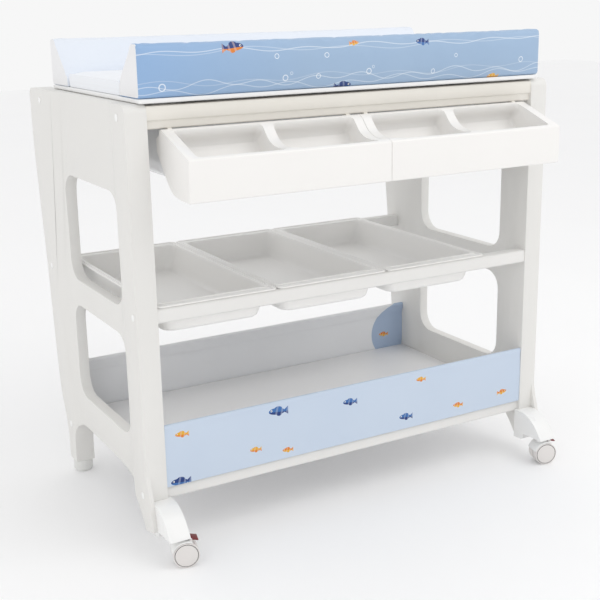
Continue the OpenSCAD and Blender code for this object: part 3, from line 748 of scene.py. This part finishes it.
REAR_EDGE = flowing([(0.900, TOP_DEPTH), (0.747, TOP_DEPTH), (0.680, 0.5645), (0.585, 0.554), (0.474, 0.541),
                     (0.340, 0.530), (0.212, 0.518), (0.160, 0.505), (0.124, 0.490), (0.090, 0.482),
                     (0.060, FOOT_DEPTH), (0.000, FOOT_DEPTH)])
REAR_FOLD = flowing([(0.900, 0.424), (0.750, 0.446), (0.630, 0.470), (0.480, 0.483), (0.380, 0.484),
                     (0.216, 0.467), (0.120, 0.442), (0.000, 0.434)])
RECESS_FOLD = flowing([(0.900, 0.346), (0.750, 0.366), (0.630, 0.391), (0.480, 0.408), (0.380, 0.410),
                       (0.216, 0.398), (0.120, 0.388), (0.000, 0.384)])


def reach(curve, z):
    """How far behind the front a curve, given from the top down, is at a height."""
    for (high, a), (low, b) in zip(curve, curve[1:]):
        if low <= z <= high and high > low:
            return a + (b - a) * (high - z) / (high - low)
    return curve[-1][1]


def recess_cutter(name, face_x, depth, inward):
    """A tube that sinks a panel's face by a depth, with a soft slope on each side of the hollow."""
    ease = [(i / 8, 3 * (i / 8) ** 2 - 2 * (i / 8) ** 3) for i in range(9)]
    rows = []
    for z in steps(0.005, 0.900, 44):
        fold, hollow = reach(REAR_FOLD, z), reach(RECESS_FOLD, z)
        section = [(-0.02, POST)] + [(-0.0006 + (depth + 0.0006) * s, POST + SLOPE * t) for t, s in ease]
        section += [(-0.0006 + (depth + 0.0006) * s, fold - (fold - hollow) * t) for t, s in reversed(ease)]
        section += [(-0.02, fold)]
        rows.append([(face_x + inward * d, FRONT + y, z) for d, y in section])
    return woven(name, rows, closed=True)


def window_cutter(name, window, x0, x1):
    low_z, high_z = window
    y0, y1, r = 0.097, 0.402, 0.042
    outline = arc(y1 - r, high_z - r, r, 0, 90) + arc(y0 + r, high_z - r, r, 90, 180)
    outline += arc(y0 + r, low_z + r, r, 180, 270) + arc(y1 - r, low_z + r, r, 270, 360)
    return prism(name, at(outline), x0, x1)


def side_panel(node, side):
    outer, inner = side * OUTER_X, side * (OUTER_X - THICK)
    r = 0.016
    rear = [(reach(REAR_EDGE, z), z) for z in steps(0.760, 0.060, 34)] + [(FOOT_DEPTH, 0.034), (0.478, 0.027)]
    arch = flowing([(0.438, 0.027), (0.436, 0.070), (0.430, 0.104), (0.408, 0.126), (0.360, 0.130),
                    (0.170, 0.130), (0.114, 0.122), (0.084, 0.111), (0.060, 0.096), (0.040, 0.077),
                    (0.026, 0.060), (0.015, 0.045)], 3)
    outline = arc(TOP_DEPTH - r, TOP - r, r, 0, 90) + arc(r, TOP - r, r, 90, 180)
    outline += [(0, 0.107), (0.015, 0.107)] + arch[::-1] + rear[::-1]
    panel = prism(node + "_moulding", at(outline), outer, inner)
    skin = [(0.0, 0.170)] + flowing([(-0.001, 0.158), (-0.006, 0.136), (-0.0145, 0.110), (-0.0235, 0.062)], 4)
    skin += [(-0.0232, 0.056), (-0.0195, 0.0525), (0.016, 0.045), (0.016, 0.170)]
    added_to(panel, prism("skin", at(skin), outer, outer - side * 0.008))
    x0, x1 = side * (OUTER_X + 0.02), side * (OUTER_X - THICK - 0.02)
    cut_by(panel, recess_cutter("outer_recess", outer, OUTER_SINK, -side),
           recess_cutter("inner_recess", inner, INNER_SINK, side),
           window_cutter("high_window", HIGH_WINDOW, x0, x1), window_cutter("low_window", LOW_WINDOW, x0, x1))
    clean(panel)
    bevelled(panel, 0.0032, 3, 40)
    smooth(panel, 32)
    return stands_for(panel, PANEL_WHITE, node)


side_panel("side_panel_left", -1)
side_panel("side_panel_right", 1)

# %% [markdown]
# The rails are straight extrusions with soft edges. The top rails have two bands, one set back below
# the other. The front one also carries the small lugs on which the trays hang.

# %% Rails and boards
def rounded(y0, y1, z0, z1, r):
    return (arc(y1 - r, z1 - r, r, 0, 90, 4) + arc(y0 + r, z1 - r, r, 90, 180, 4)
            + arc(y0 + r, z0 + r, r, 180, 270, 4) + arc(y1 - r, z0 + r, r, 270, 360, 4))


def joined(first, *others):
    bpy.ops.object.select_all(action="DESELECT")
    for piece in (first,) + others:
        piece.select_set(True)
    bpy.context.view_layer.objects.active = first
    bpy.ops.object.join()
    return first


def top_rail(node, front):
    low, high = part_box(node)
    face, inward = (low.y, 1) if front else (high.y, -1)
    z1, z0, depth = high.z, high.z - 0.041, 0.044
    pairs = [(0.0025, z1), (0.0008, z1 - 0.0008), (0, z1 - 0.0025), (0, z1 - 0.0235), (0.0010, z1 - 0.0252),
             (0.0030, z1 - 0.0262), (0.0040, z1 - 0.0278), (0.0040, z0 + 0.0030), (0.0050, z0 + 0.0008),
             (0.0072, z0), (depth - 0.002, z0), (depth, z0 + 0.002), (depth, z1 - 0.002), (depth - 0.002, z1)]
    rail = prism(node + "_band", [(face + inward * d, z) for d, z in pairs], low.x, high.x)
    if front:
        for tray in ("left", "right"):
            t_low, t_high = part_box("organiser_tray_" + tray)
            for lug_x in (t_low.x + 0.020, t_high.x - 0.020):
                lug = prism("lug", rounded(FRONT + 0.003, FRONT + 0.018, low.z, z0 + 0.001, 0.004),
                            lug_x - 0.004, lug_x + 0.004)
                rail = joined(rail, lug)
    smooth(rail, 50)
    return stands_for(rail, RAIL_CREAM, node)


def plain_rail(node, r=0.005):
    low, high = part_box(node)
    rail = prism(node + "_bar", rounded(low.y, high.y, low.z, high.z, r), low.x, high.x)
    smooth(rail, 50)
    return stands_for(rail, RAIL_WHITE, node)


top_rail("front_top_rail", True)
top_rail("rear_top_rail", False)
for rail_node in ("shelf_front_rail", "shelf_rear_rail", "bottom_front_rail", "bottom_rear_rail"):
    plain_rail(rail_node)
softened("bottom_board", BOARD_GREY, 0.0012, 2)
softened("changing_board", BOARD_WHITE, 0.0022, 3)
print("rails and boards ready")

# %% [markdown]
# An organiser tray is one thick-walled moulding with two deep pockets. Its outer end slopes straight
# from the rail down to the front. The divider and the end at the table's middle dip in a curve first
# and then run level to the front wall, so a hand reaches in easily.

# %% Organiser trays
def organiser(node, side):
    low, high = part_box(node)
    outline = [(-0.117, 0.697), (-0.117, 0.7685), (-0.1155, 0.7705), (-0.004, 0.8112), (0.002, 0.8112),
               (0.005, 0.8085), (0.009, 0.8000), (0.021, 0.7940)]
    outline += flowing([(0.021, 0.771), (-0.006, 0.738), (-0.038, 0.706), (-0.068, 0.6975),
                        (-0.115, 0.695)], 4)
    tray = prism(node + "_moulding", at(outline), low.x, high.x)
    end_wall, divider = 0.020, 0.022
    pocket_w = (high.x - low.x - 2 * end_wall - divider) / 2
    for x0 in (low.x + end_wall, low.x + end_wall + pocket_w + divider):
        hollow = [(-0.110, 0.7005), (-0.1085, 0.86), (-0.010, 0.86), (-0.008, 0.798), (0.012, 0.785),
                  (0.012, 0.774), (-0.012, 0.742), (-0.040, 0.7125), (-0.068, 0.7015)]
        pocket = prism("pocket", at(hollow), x0, x0 + pocket_w)
        bevelled(pocket, 0.009, 4, 50)
        cut_by(tray, pocket)
    dip = flowing([(-0.1085, 0.7765), (-0.102, 0.7730), (-0.085, 0.7713), (-0.060, 0.7735), (-0.040, 0.7810),
                   (-0.027, 0.7925), (-0.016, 0.8045), (-0.004, 0.8118)], 4)
    dip += [(-0.004, 0.850), (-0.1085, 0.850)]
    middle, past = (low.x + high.x) / 2, 0.004
    ends = (high.x - end_wall - past, high.x + 0.01) if side < 0 else (low.x - 0.01, low.x + end_wall + past)
    cut_by(tray, prism("dip", at(dip), middle - divider / 2 - past, middle + divider / 2 + past),
           prism("dip", at(dip), *ends))
    clean(tray)
    bevelled(tray, 0.0032, 4, 35)
    smooth(tray, 38)
    return stands_for(tray, TRAY_WHITE, node)


organiser("organiser_tray_left", -1)
organiser("organiser_tray_right", 1)
print("trays ready")

# %% [markdown]
# Bins and the tub are thin shells. Each is woven as one tube of rounded rectangles: up the outside,
# over the rim and down the inside to the floor. The bins' rims have two raised ridges, one at the edge
# and one round the mouth. The tub's rings are given as how far they stand out from its body, their
# height and their corners' radius.

# %% Bins and tub
BODY_CORNER, RIM_CORNER = 0.022, 0.010


def loop(cx, cy, half_x, half_y, r, z, count=6):
    """A level ring in the shape of a rounded rectangle."""
    points = []
    for sx, sy, start in ((1, 1, 0), (-1, 1, 90), (-1, -1, 180), (1, -1, 270)):
        corner = arc(cx + sx * (half_x - r), cy + sy * (half_y - r), r, start, start + 90, count)
        points += [(x, y, z) for x, y in corner]
    return points


def storage_bin(node):
    low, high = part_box(node)
    cx, cy = (low.x + high.x) / 2, (low.y + high.y) / 2
    rim_x, rim_y = (high.x - low.x) / 2, (high.y - low.y) / 2
    body_x, body_y, top, rim = rim_x - 0.010, 0.230, high.z, high.z - 0.0035
    foot_x = body_x - 0.014
    outside = [(foot_x - 0.0100, body_y - 0.0120, low.z + 0.0003),
               (foot_x - 0.0040, body_y - 0.0050, low.z + 0.0016),
               (foot_x - 0.0005, body_y - 0.0015, low.z + 0.0050),
               (foot_x + 0.0018, body_y - 0.0006, low.z + 0.0100)]
    over_rim = [(body_x - 0.0008, body_y, rim - 0.003), (body_x + 0.0006, body_y + 0.001, rim + 0.0001),
                (rim_x - 0.0008, rim_y - 0.0008, rim + 0.0002), (rim_x, rim_y, rim + 0.0012),
                (rim_x - 0.0002, rim_y - 0.0002, top - 0.0010), (rim_x - 0.0012, rim_y - 0.0012, top),
                (rim_x - 0.0042, rim_y - 0.0046, top), (rim_x - 0.0052, rim_y - 0.0058, top - 0.0018),
                (body_x + 0.0032, body_y + 0.0044, top - 0.0018), (body_x + 0.0022, body_y + 0.0030, top),
                (body_x - 0.0024, body_y - 0.0014, top), (body_x - 0.0034, body_y - 0.0026, top - 0.0012)]
    inside = [(body_x - 0.0037, body_y - 0.0032, rim - 0.0020),
              (foot_x - 0.0010, body_y - 0.0036, low.z + 0.0130),
              (foot_x - 0.0040, body_y - 0.0070, low.z + 0.0060),
              (foot_x - 0.0110, body_y - 0.0140, low.z + 0.0032)]
    rows = [loop(cx, cy, x, y, BODY_CORNER, z) for x, y, z in outside]
    rows += [loop(cx, cy, x, y, RIM_CORNER, z) for x, y, z in over_rim]
    rows += [loop(cx, cy, x, y, BODY_CORNER, z) for x, y, z in inside]
    shell = woven(node + "_shell", rows, closed=True)
    smooth(shell, 45)
    return stands_for(shell, BIN_WHITE, node)


for place in ("left", "centre", "right"):
    storage_bin("storage_bin_" + place)


def tub():
    low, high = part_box("bath_tub")
    cx, cy = 0, (low.y + high.y) / 2
    body_x, body_y = high.x - 0.020, (high.y - low.y) / 2 - 0.020
    floor_z, top = high.z - 0.151, high.z
    rings = [(-0.040, floor_z, 0.040), (-0.014, floor_z + 0.003, 0.058), (-0.004, floor_z + 0.013, 0.066),
             (0, floor_z + 0.035, 0.070), (0, top - 0.0032, 0.070), (0.019, top - 0.003, 0.089),
             (0.020, top - 0.0018, 0.090), (0.019, top - 0.0002, 0.089), (0.002, top, 0.072),
             (-0.0026, top - 0.001, 0.0675), (-0.003, top - 0.005, 0.067), (-0.003, floor_z + 0.037, 0.067),
             (-0.0075, floor_z + 0.014, 0.063), (-0.018, floor_z + 0.005, 0.055),
             (-0.042, floor_z + 0.003, 0.040)]
    rows = [loop(cx, cy, body_x + out, body_y + out, r, z, 10) for out, z, r in rings]
    shell = woven("bath_shell", rows, closed=True)
    plug_low, plug_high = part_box("drain_plug")
    px, py = (plug_low.x + plug_high.x) / 2, (plug_low.y + plug_high.y) / 2
    added_to(shell, cylinder("drain_pipe", (px, py, floor_z - 0.012), 0.022, 0.026))
    cut_by(shell, cylinder("drain_bore", (px, py, floor_z), 0.0191, 0.08))
    smooth(shell, 40)
    return stands_for(shell, TUB_WHITE, "bath_tub")


tub()
softened("drain_plug", PLUG_GREY, 0.0009, 2)
print("bins and tub ready")

# %% [markdown]
# A castor bracket is a curved moulding in front of each post. Under it turns the twin-wheel castor:
# a hood over two discs, with a red brake tab in front. A dark seam runs round each disc, where the
# tyre meets the hub. The rear feet are plain screw-in glides with a stepped edge.

# %% Castors and feet
SEAM_FROM, SEAM_TO, SEAM_FACE = 0.0215, 0.0232, 0.010
SEAM_DARK = plastic("wheel_seam", (0.16, 0.15, 0.15), (0.10, 0.10, 0.10), 0.6)


def bracket(node, side):
    outer = side * (OUTER_X - 0.008)
    inner = side * (OUTER_X - 0.050)
    top = flowing([(-0.014, 0.107), (-0.028, 0.1055), (-0.044, 0.0995), (-0.058, 0.0900), (-0.070, 0.0775),
                   (-0.079, 0.0665), (-0.0845, 0.0590)], 4)
    outline = [(0.015, 0.107)] + top + [(-0.0848, 0.0575), (-0.0840, 0.057), (-0.026, 0.057)]
    outline += flowing([(-0.026, 0.057), (-0.0245, 0.049), (-0.021, 0.043), (-0.012, 0.041),
                        (0.015, 0.040)], 4)[1:]
    piece = prism(node + "_moulding", at(outline), outer, inner)
    notch = sorted([side * (OUTER_X - THICK), side * (OUTER_X - 0.060)])
    cut_by(piece, cube_between("notch", (notch[0], FRONT + 0.007, 0.02), (notch[1], FRONT + 0.03, 0.12)))
    clean(piece)
    bevelled(piece, 0.0028, 4, 40)
    smooth(piece, 40)
    return stands_for(piece, BRACKET_WHITE, node)


def wheel(node):
    joint = next(j for j in frame["joints"] if j["child"] == node)
    centre, axle = Vector(joint["pos_m"]), Vector(joint["axis"]).normalized()
    piece = copy_of(node, node + "_disc")
    bevelled(piece, 0.0006, 2, 40)
    smooth(piece, 40)
    stands_for(piece, WHEEL_GREY, node)
    piece.data.materials.append(SEAM_DARK)
    for face in piece.data.polygons:
        away = Vector(face.center) - centre
        radius = (away - axle * away.dot(axle)).length
        along = abs(away.dot(axle))
        face.material_index = 1 if SEAM_FROM < radius < SEAM_TO and along > SEAM_FACE else 0
    return piece


for side, hand in ((-1, "left"), (1, "right")):
    bracket("castor_bracket_" + hand, side)
    softened("castor_hood_" + hand, CASTOR_WHITE, 0.0006, 2)
    softened("brake_tab_" + hand, TAB_RED, 0.0005, 2)
    softened("bolt_caps_" + hand, CAP_WHITE, 0.0004, 2)
    softened("rear_foot_" + hand, FOOT_WHITE, 0.0016, 3)
    for end in ("front", "back"):
        wheel("wheel_" + end + "_" + hand)
print("castors and feet ready")

# %% [markdown]
# The hinges are small stamped leaves with rolled knuckles, and the rods are drawn steel. A slight
# round on every edge is all they need.

# %% Steel parts
for steel in ("hinge_fixed_leaves", "hinge_moving_leaves"):
    softened(steel, ZINC_STEEL, 0.0003, 1)
print("steel parts ready")

# %% [markdown]
# The floor is a plain pale sheet, large enough that its far edge stays out of sight.

# %% Floor
def pale_floor():
    r = Recipe("studio_floor")
    x, y, z, point = r.place()
    colour = r.mix(r.noise(point, 1.5), rgb(0.955, 0.955, 0.96), rgb(0.975, 0.975, 0.98))
    return r.finish(Base_Color=colour, Roughness=0.7)


bpy.ops.object.select_all(action="DESELECT")
bpy.ops.mesh.primitive_plane_add(size=24, location=(0, 0, -0.0002))
floor = bpy.context.object
floor.name = "studio_floor"
floor.data.materials.append(pale_floor())
print("floor ready")

# %% [markdown]
# Every node that still shows keeps its own shape and gets its finish here.

# %% Finish
SLOT_FINISH = {
    "panel_plastic": PANEL_WHITE, "rail_cream": RAIL_CREAM, "rail_white": RAIL_WHITE,
    "board_grey": BOARD_GREY, "print_fabric": BOARD_GREY, "zinc_steel": ZINC_STEEL,
    "bracket_white": BRACKET_WHITE, "foot_plastic": FOOT_WHITE, "cap_white": CAP_WHITE,
    "tub_white": TUB_WHITE, "plug_rubber": PLUG_GREY, "board_white": BOARD_WHITE,
    "mat_vinyl": BOARD_WHITE, "bolster_vinyl": BOARD_WHITE, "tray_white": TRAY_WHITE,
    "bin_white": BIN_WHITE, "castor_white": CASTOR_WHITE, "wheel_grey": WHEEL_GREY, "tab_red": TAB_RED}
for node, obj in frame["nodes"].items():
    obj.data.materials.clear()
    obj.data.materials.append(SLOT_FINISH[SLOT_OF[node]])
